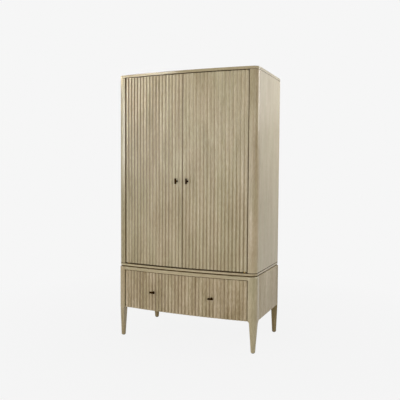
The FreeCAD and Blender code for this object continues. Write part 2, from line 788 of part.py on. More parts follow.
def runner_screws(x, direction, extra):
    """The screws of one runner."""
    return [runner_screw(x, y, direction, extra) for y in runner_screw_ys]


outward = V(1, 0, 0)
inward = V(-1, 0, 0)
outer_holes = runner_screws(drawer_half - runner_wall, outward, hole_clearance)
inner_holes = runner_screws(box_outer + runner_wall, inward, hole_clearance)
outer_runner = one(outer_runner.cut(outer_holes))
inner_runner = one(inner_runner.cut(inner_holes))
batten = one(batten.cut(outer_holes))
outer_screws = runner_screws(drawer_half - runner_wall, outward, 0)
inner_screws = runner_screws(box_outer + runner_wall, inward, 0)
export("runner_battens", batten, mirrored(batten))
export("outer_runners", outer_runner, mirrored(outer_runner))
export("runner_screws", *outer_screws, *[mirrored(peg) for peg in outer_screws])
export("right_middle_runner", middle_runner)
export("left_middle_runner", mirrored(middle_runner))
export("inner_runners", inner_runner, mirrored(inner_runner))
export("drawer_runner_screws", *inner_screws, *[mirrored(peg) for peg in inner_screws])


# Drawer: a bowed, reeded front on a plain box
def seat_on_drawer(shape, side):
    """Stand a knob piece on the drawer front, square to its reed, right or left of the middle."""
    angle = side * drawer_knob_angle
    return set_on_bow(shape, base_core_radius * drawer_facet_sink, angle, drawer_knob_height)


drawer_angles = [-drawer_last + index * drawer_pitch for index in range(drawer_reed_count + 1)]
drawer_core = bowed_panel(base_core_radius, core_thickness, drawer_angles, drawer_bottom, drawer_top)
drawer_reeds = [reed(base_core_radius, first, last, drawer_bottom, drawer_top)
                for first, last in zip(drawer_angles, drawer_angles[1:])]
middle_reed = drawer_reed_count // 2
for index, side in ((middle_reed - 1 - drawer_knob_reed, -1), (middle_reed + drawer_knob_reed, 1)):
    drawer_reeds[index] = one(drawer_reeds[index].cut(seat_on_drawer(stem_hole(), side)))
    drawer_core = one(drawer_core.cut(seat_on_drawer(knob_screw_shank(hole_clearance), side)))
export("drawer_front_core", drawer_core)
export("drawer_reeds", *drawer_reeds)
export("drawer_knobs", *[seat_on_drawer(knob(V(1, 0, 0)), side) for side in (-1, 1)])
export("drawer_knob_screws", *[seat_on_drawer(knob_screw(), side) for side in (-1, 1)])

# Drawer box: sides, back and bottom, all butted to the back of the bowed front
box_inner = box_outer - box_side
box_high = box_low + box_height
box_end = lower_rail_front + box_length
front_reach = bow_centre - base_bow_radius
core_back = base_core_radius - core_thickness
front_zone = prism([bow_point(core_back, angle) for angle in drawer_angles]
                   + [(base_half, front_reach), (-base_half, front_reach)], drawer_bottom, drawer_top)
box_wall = block(box_inner, box_outer, front_reach, box_end, box_low, box_high).cut(front_zone)
box_wall = one(box_wall.cut(inner_holes))
export("drawer_right_side", box_wall)
export("drawer_left_side", mirrored(box_wall))
export("drawer_back", block(-box_inner, box_inner, box_end - box_side, box_end, box_low, box_high))
bottom_low = box_low + box_bottom_rise
box_floor = block(-box_inner, box_inner, front_reach, box_end - box_side, bottom_low, bottom_low + box_bottom)
export("drawer_bottom", one(box_floor.cut(front_zone)))
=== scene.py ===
import json
import math

import bmesh
import bpy
from mathutils import Matrix, Vector

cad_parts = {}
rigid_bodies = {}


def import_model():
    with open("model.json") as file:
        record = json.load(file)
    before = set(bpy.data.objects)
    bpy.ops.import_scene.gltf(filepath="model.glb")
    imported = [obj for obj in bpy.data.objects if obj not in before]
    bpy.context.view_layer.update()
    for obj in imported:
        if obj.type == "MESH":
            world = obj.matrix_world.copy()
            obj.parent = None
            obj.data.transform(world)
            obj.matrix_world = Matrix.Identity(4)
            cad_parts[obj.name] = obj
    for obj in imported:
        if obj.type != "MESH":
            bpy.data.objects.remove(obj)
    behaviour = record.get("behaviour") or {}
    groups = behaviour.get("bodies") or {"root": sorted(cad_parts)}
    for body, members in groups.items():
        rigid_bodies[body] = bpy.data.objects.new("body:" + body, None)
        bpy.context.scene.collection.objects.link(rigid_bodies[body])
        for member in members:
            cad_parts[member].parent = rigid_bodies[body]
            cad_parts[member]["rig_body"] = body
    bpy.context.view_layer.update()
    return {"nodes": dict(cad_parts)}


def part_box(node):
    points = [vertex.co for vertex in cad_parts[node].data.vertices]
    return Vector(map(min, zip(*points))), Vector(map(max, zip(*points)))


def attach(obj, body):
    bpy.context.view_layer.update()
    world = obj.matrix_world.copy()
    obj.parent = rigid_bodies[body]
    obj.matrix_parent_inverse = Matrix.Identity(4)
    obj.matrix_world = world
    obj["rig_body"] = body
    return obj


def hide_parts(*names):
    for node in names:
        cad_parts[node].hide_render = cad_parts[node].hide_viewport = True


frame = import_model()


# Legs: four solid oak posts, each sawn from one piece that runs up as a corner of the base. The outer
# corner is rounded to the cabinet's plan, and below the base the post tapers to a turned round foot.
# The oak is wire-brushed, limed and matt lacquered: greige with soft streaks. Each leg has its own copy of it,
# lighter or darker as painted light and shade: the right front lighter, the left front darker, and the rear
# pair darkest.
def linear(code):
    """The linear RGBA of an sRGB hex colour."""
    channels = [int(code[start:start + 2], 16) / 255 for start in (0, 2, 4)]
    return [c / 12.92 if c <= 0.04045 else ((c + 0.055) / 1.055) ** 2.4 for c in channels] + [1.0]


def add_node(tree, kind, inputs, **settings):
    """Add one shader node, set it up, and fill its inputs with values or with links to other nodes."""
    node = tree.nodes.new("ShaderNode" + kind)
    for name, value in settings.items():
        setattr(node, name, value)
    for key, value in inputs.items():
        if isinstance(value, bpy.types.NodeSocket):
            tree.links.new(value, node.inputs[key])
        else:
            node.inputs[key].default_value = value
    return node


def new_finish(name):
    """An empty material, its tree and the shader that its nodes feed."""
    finish = bpy.data.materials.new(name)
    finish.use_nodes = True
    return finish, finish.node_tree, finish.node_tree.nodes["Principled BSDF"]


def limed_oak(name, grain, heart, figuring, lime=0.5, blush=0.5, lacquer=0.0, strips=False):
    """Limed oak, its grain along an axis; heart moves the log under it, figuring is contrast, lime is
    paleness, blush is warmth, lacquer is the weight of its clear coat, and strips is for the reeds."""
    finish, tree, shader = new_finish(name)
    turn = {"X": (0, math.pi / 2, 0), "Y": (math.pi / 2, 0, 0), "Z": (0, 0, 0)}[grain]
    place = add_node(tree, "TexCoord", {}).outputs["Object"]
    washed = log = add_node(tree, "Mapping", {"Vector": place, "Rotation": turn, "Location": heart}).outputs[0]
    if strips:
        cut = add_node(tree, "Attribute", {}, attribute_name="strip_cut").outputs["Vector"]
        log = add_node(tree, "VectorMath", {0: washed, 1: cut}, operation="ADD").outputs[0]

    def figure(under, across, along, detail):
        """A soft pattern of patches so many millimetres wide and long."""
        scale = (1000 / across, 1000 / across, 1000 / along)
        stretched = add_node(tree, "VectorMath", {0: under, 1: scale}, operation="MULTIPLY").outputs[0]
        return add_node(tree, "TexNoise", {"Vector": stretched, "Scale": 1.0, "Detail": detail,
                                           "Roughness": 0.55}).outputs["Fac"]

    def laid_on(under, pattern, share):
        """A pattern laid on another value with a share of its strength."""
        scaled = add_node(tree, "Math", {0: pattern, 1: share, 2: -share / 2},
                          operation="MULTIPLY_ADD").outputs[0]
        return add_node(tree, "Math", {0: under, 1: scaled}, operation="ADD").outputs[0]

    # The lime wash lies in patches a hand wide, across the joints. In the wood itself streaks run along the
    # grain, flecks are clusters of lime-filled pores, and pores are fine dashes, drawn about four times as
    # wide as oak's so that they show from a step away.
    wash = figure(washed, 95, 420, 2.0)
    streaks = figure(log, 11, 260, 3.0)
    flecks = figure(log, 5, 34, 2.0)
    pores = figure(log, 1.4, 24, 2.0)

    # The yearly rings are 7 mm apart. They sway by up to 50 mm, six times a metre across the grain and 1.4
    # times along it.
    ring_width = 0.007
    sways_per_metre = (6, 6, 1.4)
    sway_reach = (0.05, 0.05, 0.0)
    sway = add_node(tree, "VectorMath", {0: log, 1: sways_per_metre}, operation="MULTIPLY").outputs[0]
    bend = add_node(tree, "TexNoise", {"Vector": sway, "Scale": 1.0, "Detail": 1.0}).outputs["Color"]
    bent = add_node(tree, "VectorMath", {0: bend, 1: sway_reach, 2: log}, operation="MULTIPLY_ADD").outputs[0]
    rings = add_node(tree, "TexWave", {"Vector": bent, "Scale": math.pi / 10 / ring_width, "Distortion": 1.2,
                                       "Detail": 1.0, "Detail Scale": 0.6}, wave_type="RINGS",
                     rings_direction="Z", wave_profile="SAW").outputs["Fac"]
    depth = lime
    for pattern, share in ((wash, 0.6), (streaks, 0.4), (flecks, 0.55), (rings, 0.08), (pores, 0.2)):
        depth = laid_on(depth, pattern, share * figuring)
    if strips:
        strip_tone = add_node(tree, "Attribute", {}, attribute_name="strip_tone").outputs["Fac"]
        depth = laid_on(depth, strip_tone, 0.09)

    def lime_ramp(dark, middle, light):
        """The stain's depth as a colour, from a dark streak to a lime-filled one."""
        ramp = add_node(tree, "ValToRGB", {"Fac": depth})
        stops = ramp.color_ramp.elements
        stops[0].position, stops[0].color = 0.18, linear(dark)
        stops[1].position, stops[1].color = 0.82, linear(light)
        stops.new(0.5).color = linear(middle)
        return ramp.outputs["Color"]

    tint_patches = figure(washed, 70, 360, 2.0)
    tint = add_node(tree, "MapRange", {"Value": tint_patches, "From Min": 0.36, "From Max": 0.64,
                                       "To Min": blush - 0.3, "To Max": blush + 0.3}).outputs[0]
    cool = lime_ramp("82744A", "A99D77", "C7BB97")
    warm = lime_ramp("847147", "AA9774", "C8B697")
    colour = add_node(tree, "Mix", {"Factor": tint, "A": cool, "B": warm}, data_type="RGBA").outputs["Result"]
    if strips:
        # Painted shade and light at the joints, fading up the flanks of the reeds: a dark painted shade above
        # 0, a pale painted light below it.
        side = add_node(tree, "Attribute", {}, attribute_name="strip_side").outputs["Fac"]
        painted_joint_amount = add_node(tree, "Attribute", {}, attribute_name="strip_painted_joint").outputs["Fac"]
        flank = add_node(tree, "Math", {0: side, 1: 2.0}, operation="POWER").outputs[0]
        for sign, painted_joint_colour in ((1.0, "5E4822"), (-1.0, "E2D8BE")):
            signed = add_node(tree, "Math", {0: painted_joint_amount, 1: sign}, operation="MULTIPLY").outputs[0]
            held = add_node(tree, "Math", {0: flank, 1: signed}, operation="MULTIPLY").outputs[0]
            colour = add_node(tree, "Mix", {"Factor": held, "A": colour, "B": linear(painted_joint_colour)},
                              data_type="RGBA").outputs["Result"]
    tree.links.new(colour, shader.inputs["Base Color"])
    gloss = add_node(tree, "MapRange", {"Value": depth, "To Min": 0.62, "To Max": 0.42}).outputs[0]
    tree.links.new(gloss, shader.inputs["Roughness"])
    shader.inputs["Coat Weight"].default_value = lacquer
    shader.inputs["Coat Roughness"].default_value = 0.25
    relief = add_node(tree, "Bump", {"Height": laid_on(pores, streaks, 0.5), "Strength": 0.25,
                                     "Distance": 0.0006}).outputs[0]
    tree.links.new(relief, shader.inputs["Normal"])
    return finish


def finished_piece(work, name, finish, slot, body, *nodes):
    """Turn a modelled mesh into a smooth-shaded piece that rides on a body and stands for CAD nodes."""
    crease = math.radians(35)
    mesh = bpy.data.meshes.new(name)
    for face in work.faces:
        face.smooth = True
        face.material_index = 0
    work.to_mesh(mesh)
    work.free()
    mesh.materials.append(finish)
    mesh.set_sharp_from_angle(angle=crease)
    piece = bpy.data.objects.new(name, mesh)
    bpy.context.scene.collection.objects.link(piece)
    flats = piece.modifiers.new("flat_faces_stay_flat", "WEIGHTED_NORMAL")
    flats.keep_sharp = True
    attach(piece, body)
    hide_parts(*nodes)
    return piece


def eased_copy(node, ease, finish, slot):
    """A copy of a CAD piece with its sharp edges eased and its curved faces smooth; it stands for the piece."""
    weld = 2e-5
    flat_below = math.radians(0.1)
    sharp_above = math.radians(40)
    source = frame["nodes"][node]
    work = bmesh.new()
    work.from_mesh(source.data)
    bmesh.ops.remove_doubles(work, verts=work.verts, dist=weld)
    bmesh.ops.dissolve_limit(work, angle_limit=flat_below, verts=work.verts, edges=work.edges)
    sharp = [edge for edge in work.edges if edge.is_manifold and edge.calc_face_angle() > sharp_above]
    bmesh.ops.bevel(work, geom=sharp, offset=ease, affect="EDGES", segments=2, profile=0.5, material=-1,
                    clamp_overlap=True)
    return finished_piece(work, node + "_finished", finish, slot, source["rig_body"], node)


leg_ease = 0.0012
leg_heart = (0.21, 0.13, 0.4)
# Lit and shaded copies of one oak: each leg's lime is set to the light it gets, as painted light or shade.
left_leg_oak_shaded = limed_oak("limed_oak_left_leg_shaded", "Z", leg_heart, 1.0, lime=0.47, blush=0.6, lacquer=0.5)
right_leg_oak_lit = limed_oak("limed_oak_right_leg_lit", "Z", leg_heart, 1.0, lime=0.57, blush=0.4, lacquer=0.8)
rear_leg_oak_shaded = limed_oak("limed_oak_rear_legs_shaded", "Z", leg_heart, 1.0, lime=0.2, blush=0.8)
for leg, finish in (("front_left_leg", left_leg_oak_shaded), ("front_right_leg", right_leg_oak_lit),
                    ("rear_left_leg", rear_leg_oak_shaded), ("rear_right_leg", rear_leg_oak_shaded)):
    eased_copy(leg, leg_ease, finish, "oak")


# Glides: black nylon discs, moulded with a fine eggshell surface and nailed under the feet, so that the
# end grain stays clear of the floor.
def moulded_nylon(name, code):
    """Dark moulded nylon: a slightly cloudy colour and a fine eggshell."""
    finish, tree, shader = new_finish(name)
    place = add_node(tree, "TexCoord", {}).outputs["Object"]
    cloud = add_node(tree, "TexNoise", {"Vector": place, "Scale": 1000 / 7, "Detail": 2.0}).outputs["Fac"]
    ramp = add_node(tree, "ValToRGB", {"Fac": cloud})
    ramp.color_ramp.elements[0].color = [channel * 0.75 for channel in linear(code)[:3]] + [1.0]
    ramp.color_ramp.elements[1].color = linear(code)
    tree.links.new(ramp.outputs["Color"], shader.inputs["Base Color"])
    shader.inputs["Roughness"].default_value = 0.55
    eggshell = add_node(tree, "TexNoise", {"Vector": place, "Scale": 1000 / 0.7, "Detail": 1.0}).outputs["Fac"]
    relief = add_node(tree, "Bump", {"Height": eggshell, "Strength": 0.2, "Distance": 0.0002}).outputs[0]
    tree.links.new(relief, shader.inputs["Normal"])
    return finish


glide_ease = 0.0005
nylon = moulded_nylon("moulded_nylon", "2C2A27")
eased_copy("foot_glides", glide_ease, nylon, "nylon")


# Base walls: oak boards tongued between the legs. The sides stand flush with the posts, and the front
# rail over the drawer is bent to the bow, its upper edge rounded over.
board_ease = 0.0008
base_oak = limed_oak("limed_oak_base_sides", "Z", (-0.16, 0.37, 0.2), 1.1, lime=0.54, blush=0.9, lacquer=0.2)
for side in ("left_base_side", "right_base_side"):
    eased_copy(side, board_ease, base_oak, "oak")
rail_oak = limed_oak("limed_oak_rails", "X", (0.05, 0.62, 0.11), 0.7, lacquer=0.6)
eased_copy("base_front_rail", board_ease, rail_oak, "oak")


# Hidden boards of the base: plain oak-faced boards that close its top, stiffen it below the drawer and
# bring the runners level with the posts. They are lacquered but not limed, so they are a little darker.
def plain_board(name, grain, light, dark, wide, long, shine=0.5):
    """Wood with straight grain: two tones in streaks so many millimetres wide and long, and the shine of
    its lacquer."""
    finish, tree, shader = new_finish(name)
    place = add_node(tree, "TexCoord", {}).outputs["Object"]
    scale = [1000 / long if axis == grain else 1000 / wide for axis in "XYZ"]
    stretched = add_node(tree, "VectorMath", {0: place, 1: scale}, operation="MULTIPLY").outputs[0]
    streaks = add_node(tree, "TexNoise", {"Vector": stretched, "Scale": 1.0, "Detail": 4.0,
                                          "Roughness": 0.6}).outputs["Fac"]
    ramp = add_node(tree, "ValToRGB", {"Fac": streaks})
    ramp.color_ramp.elements[0].position, ramp.color_ramp.elements[0].color = 0.3, linear(dark)
    ramp.color_ramp.elements[1].position, ramp.color_ramp.elements[1].color = 0.7, linear(light)
    tree.links.new(ramp.outputs["Color"], shader.inputs["Base Color"])
    shader.inputs["Specular IOR Level"].default_value = shine
    gloss = add_node(tree, "MapRange", {"Value": streaks, "To Min": 0.6, "To Max": 0.48}).outputs[0]
    tree.links.new(gloss, shader.inputs["Roughness"])
    relief = add_node(tree, "Bump", {"Height": streaks, "Strength": 0.15, "Distance": 0.0004}).outputs[0]
    tree.links.new(relief, shader.inputs["Normal"])
    return finish


inner_ease = 0.0006
inner_across = plain_board("lacquered_oak_across", "X", "AC9C7C", "8D7D5E", wide=9, long=320)
inner_deep = plain_board("lacquered_oak_deep", "Y", "AC9C7C", "8D7D5E", wide=9, long=320)
for board, finish in (("base_top_board", inner_across), ("base_lower_rail", inner_across),
                      ("runner_battens", inner_deep)):
    eased_copy(board, inner_ease, finish, "inner_wood")


# Backs: thin oak-veneered panels let in between the rear posts, one in the base and one in the cabinet.
# The veneer is lacquered but not limed, and its grain runs upright in long, broad streaks.
veneer_ease = 0.0004
back_veneer = plain_board("oak_veneer_back", "Z", "A59671", "857551", wide=14, long=500)
for panel in ("base_back", "back_panel"):
    eased_copy(panel, veneer_ease, back_veneer, "back_board")


# Runners: three nested steel channels each side of the drawer, roll-formed and zinc plated, with flat
# screws. Zinc is bright and slightly spangled.
def plated_steel(name, code, rough):
    """Plated steel: bright metal with a faint cloudy spangle."""
    finish, tree, shader = new_finish(name)
    place = add_node(tree, "TexCoord", {}).outputs["Object"]
    spangle = add_node(tree, "TexVoronoi", {"Vector": place, "Scale": 1000 / 6}).outputs["Color"]
    ramp = add_node(tree, "ValToRGB", {"Fac": spangle})
    ramp.color_ramp.elements[0].color = [channel * 0.82 for channel in linear(code)[:3]] + [1.0]
    ramp.color_ramp.elements[1].color = linear(code)
    tree.links.new(ramp.outputs["Color"], shader.inputs["Base Color"])
    shader.inputs["Metallic"].default_value = 1.0
    cloud = add_node(tree, "TexNoise", {"Vector": place, "Scale": 1000 / 16, "Detail": 3.0}).outputs["Fac"]
    gloss = add_node(tree, "MapRange", {"Value": cloud, "To Min": rough - 0.08,
                                        "To Max": rough + 0.08}).outputs[0]
    tree.links.new(gloss, shader.inputs["Roughness"])
    return finish


fitting_ease = 0.0003
zinc = plated_steel("zinc_plated_steel", "B4B5B2", rough=0.38)
for runner in ("outer_runners", "inner_runners", "left_middle_runner", "right_middle_runner"):
    eased_copy(runner, fitting_ease, zinc, "steel")
for fastener in ("runner_screws", "drawer_runner_screws", "base_bolts"):
    eased_copy(fastener, fitting_ease, zinc, "steel")


# Drawer box: birch boards, sanded and sealed, glued together behind the bowed front. Birch is pale and
# even, with fine grain along each board.
birch_deep = plain_board("sealed_birch_deep", "Y", "CDB78F", "B79F75", wide=7, long=260)
birch_across = plain_board("sealed_birch_across", "X", "CDB78F", "B79F75", wide=7, long=260)
for board, finish in (("drawer_left_side", birch_deep), ("drawer_right_side", birch_deep),
                      ("drawer_back", birch_across), ("drawer_bottom", birch_across)):
    eased_copy(board, board_ease, finish, "box_wood")


# Reeded fronts: a bowed core of oak strips with half-round oak reeds glued side by side on it. Each reed
# is its own length of wood, so neighbours differ in tone, and its ends are sanded round. The joints between
# them are painted: darker as painted shade, paler as painted light, set at the front's corners to the light
# that falls there and varying at random from reed to reed.
bow_radius = 4.53047
bow_centre = 4.225622
reed_height = 0.006
reed_joint = 0.0006
reed_end = 0.0022


def vertices(geometry):
    """The vertices among the elements that an operator gives back."""
    return [element for element in geometry if isinstance(element, bmesh.types.BMVert)]


def scattered(number, stride, seed):
    """A value between 0 and 1 that jumps from number to number, and is the same on each run."""
    return math.sin(number * stride + seed) * 43758.5453 % 1


def reed_strips(radius, first, pitch, count, low, high, seed, joint_shade_and_light, spotty):
    """Half-round strips side by side on a bowed core; each has its own tone and its own cut of the log.
    The painted shade in the joints is given at the front's four corners (top left, top right, bottom left,
    bottom right), dark painted shade above 0 and pale painted light below it; spotty is how much it differs
    from reed to reed."""
    tone_stride, painted_joint_stride = 12.9898, 78.233
    top_fade = 1.4
    top_left, top_right, bottom_left, bottom_right = joint_shade_and_light
    work = bmesh.new()
    side_layer = work.verts.layers.float.new("strip_side")
    tone_layer = work.verts.layers.float.new("strip_tone")
    cut_layer = work.verts.layers.float_vector.new("strip_cut")
    painted_joint_layer = work.verts.layers.float.new("strip_painted_joint")
    half = radius * math.sin(pitch / 2) - reed_joint / 2
    crown = (half ** 2 + reed_height ** 2) / (2 * reed_height)
    corner = work.verts.new((-half, 0, low))
    bmesh.ops.spin(work, geom=[corner], cent=(0, crown - reed_height, low), axis=(0, 0, 1),
                   angle=2 * math.asin(half / crown), steps=12)
    bmesh.ops.contextual_create(work, geom=work.verts[:])
    raised = bmesh.ops.extrude_face_region(work, geom=work.faces[:])["geom"]
    bmesh.ops.translate(work, vec=(0, 0, high - low), verts=vertices(raised))
    bmesh.ops.recalc_face_normals(work, faces=work.faces)
    ends = [edge for edge in work.edges
            if edge.verts[0].co.z == edge.verts[1].co.z and edge.calc_length() < half]
    bmesh.ops.bevel(work, geom=ends, offset=reed_end, affect="EDGES", segments=3, profile=0.5, material=-1)
    for vert in work.verts:
        vert[side_layer] = abs(vert.co.x) / half
    bmesh.ops.translate(work, vec=(0, bow_centre - radius * math.cos(pitch / 2), 0), verts=work.verts)
    bmesh.ops.rotate(work, cent=(0, bow_centre, 0), matrix=Matrix.Rotation(first + pitch / 2, 3, "Z"),
                     verts=work.verts)
    strip = work.verts[:] + work.edges[:] + work.faces[:]
    for index in range(count):
        tone = scattered(index + 1, tone_stride, seed)
        leftward = 1 - (index + 0.5) / count
        # Painted shade (or painted light, below 0) in this reed's joints: blended from the corners, with a
        # random spread.
        uneven = spotty * (scattered(index + 1, painted_joint_stride, seed) - 0.5)
        top = top_right + (top_left - top_right) * leftward ** top_fade + uneven
        bottom = bottom_right + (bottom_left - bottom_right) * leftward + uneven
        for vert in vertices(strip):
            vert[tone_layer] = tone
            vert[painted_joint_layer] = top if vert.co.z > (low + high) / 2 else bottom
            vert[cut_layer] = (0.31 * index, 0.17 * index, 1.37 * tone)
        if index < count - 1:
            strip = bmesh.ops.duplicate(work, geom=strip)["geom"]
            bmesh.ops.rotate(work, cent=(0, bow_centre, 0), matrix=Matrix.Rotation(pitch, 3, "Z"),
                             verts=vertices(strip))
    return work


def stain_and_shade_faces(piece, shade_stain, chosen):
    """Give the chosen faces of a limed piece, those that lie in a narrow gap or groove, a dark finish: a stain
    that also paints in the shade there.
    """
    piece.data.materials.append(shade_stain)
    for face in piece.data.polygons:
        if chosen(face):
            face.material_index = 1


core_ease = 0.0006
core_oak = limed_oak("limed_oak_cores", "Z", (0.4, 0.9, 0.3), 0.8)
# A dark stain for the cores' edges and faces; it also paints in the shade of the door gaps and the joints
# between reeds.
core_stain_and_shade = plain_board("dark_core_stain_and_shade", "Z", "6C4C22", "503516", wide=8, long=240, shine=0.0)


def bowed_core(node):
    """A bowed core: limed on its back, and dark on the edges and face that show between the reeds: a stain that
    also paints in the shade of the joints and gaps.
    """
    faces_back = 0.7
    core = eased_copy(node, core_ease, core_oak, "oak_core")
    stain_and_shade_faces(core, core_stain_and_shade, lambda face: face.normal.y <= faces_back)


bowed_core("drawer_front_core")
drawer_reed_oak = limed_oak("limed_oak_drawer_reeds", "Z", (3.2, 0.4, 0.8), 1.7, lime=0.53, blush=0.95,
                            lacquer=0.4, strips=True)
drawer_reed_count = 36
drawer_half_width = 0.4915
drawer_stands_proud = 0.0035
drawer_low, drawer_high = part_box("drawer_reeds")
drawer_radius = bow_radius + drawer_stands_proud - reed_height
drawer_end = math.asin(drawer_half_width / drawer_radius)
drawer_pitch = 2 * drawer_end / drawer_reed_count
# The drawer's joints carry painted shade, more on the left.
drawer_strips = reed_strips(drawer_radius, -drawer_end, drawer_pitch, drawer_reed_count, drawer_low.z,
                            drawer_high.z, seed=0.37, joint_shade_and_light=(0.65, 0.15, 0.65, 0.25), spotty=0.6)
finished_piece(drawer_strips, "drawer_reeds_finished", drawer_reed_oak, "oak", "drawer", "drawer_reeds")


# Knobs: a short turned bar across a round stem with a wider foot, cast in bronze and darkened to a deep
# brown. Each is drawn tight by a screw from behind the panel.
def dark_bronze(name):
    """Oil-darkened bronze: a deep brown patina with lighter clouds."""
    finish, tree, shader = new_finish(name)
    place = add_node(tree, "TexCoord", {}).outputs["Object"]
    patina = add_node(tree, "TexNoise", {"Vector": place, "Scale": 1000 / 4.5, "Detail": 4.0}).outputs["Fac"]
    ramp = add_node(tree, "ValToRGB", {"Fac": patina})
    ramp.color_ramp.elements[0].position, ramp.color_ramp.elements[0].color = 0.35, linear("1C0E00")
    ramp.color_ramp.elements[1].position, ramp.color_ramp.elements[1].color = 0.75, linear("301C02")
    tree.links.new(ramp.outputs["Color"], shader.inputs["Base Color"])
    shader.inputs["Metallic"].default_value = 1.0
    shader.inputs["Specular Tint"].default_value = linear("7A4E18")
    gloss = add_node(tree, "MapRange", {"Value": patina, "To Min": 0.4, "To Max": 0.56}).outputs[0]
    tree.links.new(gloss, shader.inputs["Roughness"])
    return finish


knob_ease = 0.0005
bronze = dark_bronze("darkened_bronze")
eased_copy("drawer_knobs", knob_ease, bronze, "bronze")
eased_copy("drawer_knob_screws", fitting_ease, zinc, "steel")


# Bottom board and the strips under it: an oak board flush with the posts, held off the base by strips set
# back from the edge, so that a dark line runs round between cabinet and base; the strips are coloured near
# black as painted shade. A groove round the board's upper edge, which sets it off from the posts and doors,
# is painted as dark, as painted shade.
strip_ease = 0.0004
# Painted shade: a near-black colour for the recessed strips and the grooves, where shade falls.
strip_painted_shade = plain_board("painted_shade_strip", "X", "402400", "2C1600", wide=9, long=300, shine=0.0)
eased_copy("shadow_strips", strip_ease, strip_painted_shade, "inner_wood")
edge_ease = 0.0006
lower_groove_foot, lower_groove_head = 0.5665, 0.5702
board_oak = limed_oak("limed_oak_bottom_board", "X", (0.33, 0.18, 0.55), 0.7, lacquer=0.6)
bottom_board = eased_copy("bottom_board", edge_ease, board_oak, "oak")
# The groove faces take the painted shade.
stain_and_shade_faces(bottom_board, strip_painted_shade, lambda face: lower_groove_foot < face.center.z < lower_groove_head)


# Corner posts: solid oak, rounded outside, dowelled between the bottom board and the top panel. The inner
# edges of the front ones, which face the doors across a narrow gap, carry the dark core stain, which also
# paints in the shade of the gap. The left front one has its own copy of the oak, greyer and darker, set to the
# light on it: the grey is a painted sheen. It is under a fuller lacquer.
faces_door_gap_shade = 0.9
post_heart = (0.09, 0.31, 0.7)
post_oak = limed_oak("limed_oak_posts", "Z", post_heart, 0.9, lime=0.46, blush=0.8, lacquer=0.6)
left_stile_oak_sheen = limed_oak("limed_oak_left_stile_sheen", "Z", post_heart, 0.9, lime=0.3, blush=0.2, lacquer=1.0)
for stile, finish, inward in (("left_front_stile", left_stile_oak_sheen, 1), ("right_front_stile", post_oak, -1)):
    piece = eased_copy(stile, board_ease, finish, "oak")
    # Painted shade: the faces toward the door gap take the dark core stain.
    stain_and_shade_faces(piece, core_stain_and_shade, lambda face: face.normal.x * inward > faces_door_gap_shade)
for post in ("left_rear_post", "right_rear_post"):
    eased_copy(post, board_ease, post_oak, "oak")
eased_copy("carcass_dowels", board_ease, birch_deep, "box_wood")


# Side panels: wide oak boards glued between the posts and sanded flush with them. The grain runs upright,
# and the lime lies more evenly on it than on the posts.
panel_ease = 0.0005
side_oak = limed_oak("limed_oak_side_panels", "Z", (-0.28, 0.16, 0.9), 0.6, lime=0.48, lacquer=0.6)
for panel in ("left_side_panel", "right_side_panel"):
    eased_copy(panel, panel_ease, side_oak, "oak")


# Shelf, rail and their fittings: an oak-faced shelf on steel pins, and under it a chromed tube in two
# flanged sockets screwed to the sides.
shelf_ease = 0.001
rail_ease = 0.0004
eased_copy("hat_shelf", shelf_ease, inner_across, "inner_wood")
chrome = plated_steel("chromed_steel", "C9CBCC", rough=0.16)
for fitting in ("hanging_rail", "rail_sockets"):
    eased_copy(fitting, rail_ease, chrome, "steel")
for fastener in ("shelf_pins", "socket_screws"):
    eased_copy(fastener, fitting_ease, zinc, "steel")


# Door pivots and catches: brass plates let into the boards above and below the doors, each with a turned
# pin, and nylon magnet blocks under the top.
def turned_brass(name):
    """Plain turned brass: warm yellow metal, dulled in soft patches."""
    finish, tree, shader = new_finish(name)
    place = add_node(tree, "TexCoord", {}).outputs["Object"]
    tarnish = add_node(tree, "TexNoise", {"Vector": place, "Scale": 1000 / 11, "Detail": 3.0}).outputs["Fac"]
    ramp = add_node(tree, "ValToRGB", {"Fac": tarnish})
    ramp.color_ramp.elements[0].position, ramp.color_ramp.elements[0].color = 0.3, linear("8A6E36")
    ramp.color_ramp.elements[1].position, ramp.color_ramp.elements[1].color = 0.7, linear("BF9C55")
    tree.links.new(ramp.outputs["Color"], shader.inputs["Base Color"])
    shader.inputs["Metallic"].default_value = 1.0
    gloss = add_node(tree, "MapRange", {"Value": tarnish, "To Min": 0.42, "To Max": 0.26}).outputs[0]
    tree.links.new(gloss, shader.inputs["Roughness"])
    return finish


catch_ease = 0.0012
brass = turned_brass("turned_brass")
for pivot in ("top_pivots", "bottom_pivots"):
    eased_copy(pivot, fitting_ease, brass, "brass")
eased_copy("pivot_screws", fitting_ease, zinc, "steel")
eased_copy("door_catches", catch_ease, nylon, "nylon")


# Top panel: one oak board over the posts, flush all round, its upper edge rounded. A fine groove round its
# lower edge, which sets it off from the posts and doors, is painted dark as painted shade.
upper_groove_foot, upper_groove_head = 1.9788, 1.9805
top_oak = limed_oak("limed_oak_top_panel", "X", (-0.12, 0.27, 0.35), 0.6, lime=0.44, lacquer=0.6)
top_panel = eased_copy("top_panel", edge_ease, top_oak, "oak")
# The groove faces take the painted shade.
stain_and_shade_faces(top_panel, strip_painted_shade, lambda face: upper_groove_foot < face.center.z < upper_groove_head)


# Doors: bowed cores faced with eighteen reeds each, turning on brass bushes at their outer ends. Each has
# a steel strike for the magnet and a knob beside the gap in the middle.
door_reed_count = 18
door_inner_edge, door_outer_edge = 0.0015, 0.488
door_low, door_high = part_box("right_door_reeds")
door_radius = bow_radius - reed_height
door_first = math.asin(door_inner_edge / door_radius)
door_last = math.asin(door_outer_edge / door_radius)
door_pitch = (door_last - door_first) / door_reed_count
door_reed_oak = limed_oak("limed_oak_door_reeds", "Z", (0.2, 0.6, 0.1), 1.0, lacquer=0.8, strips=True)
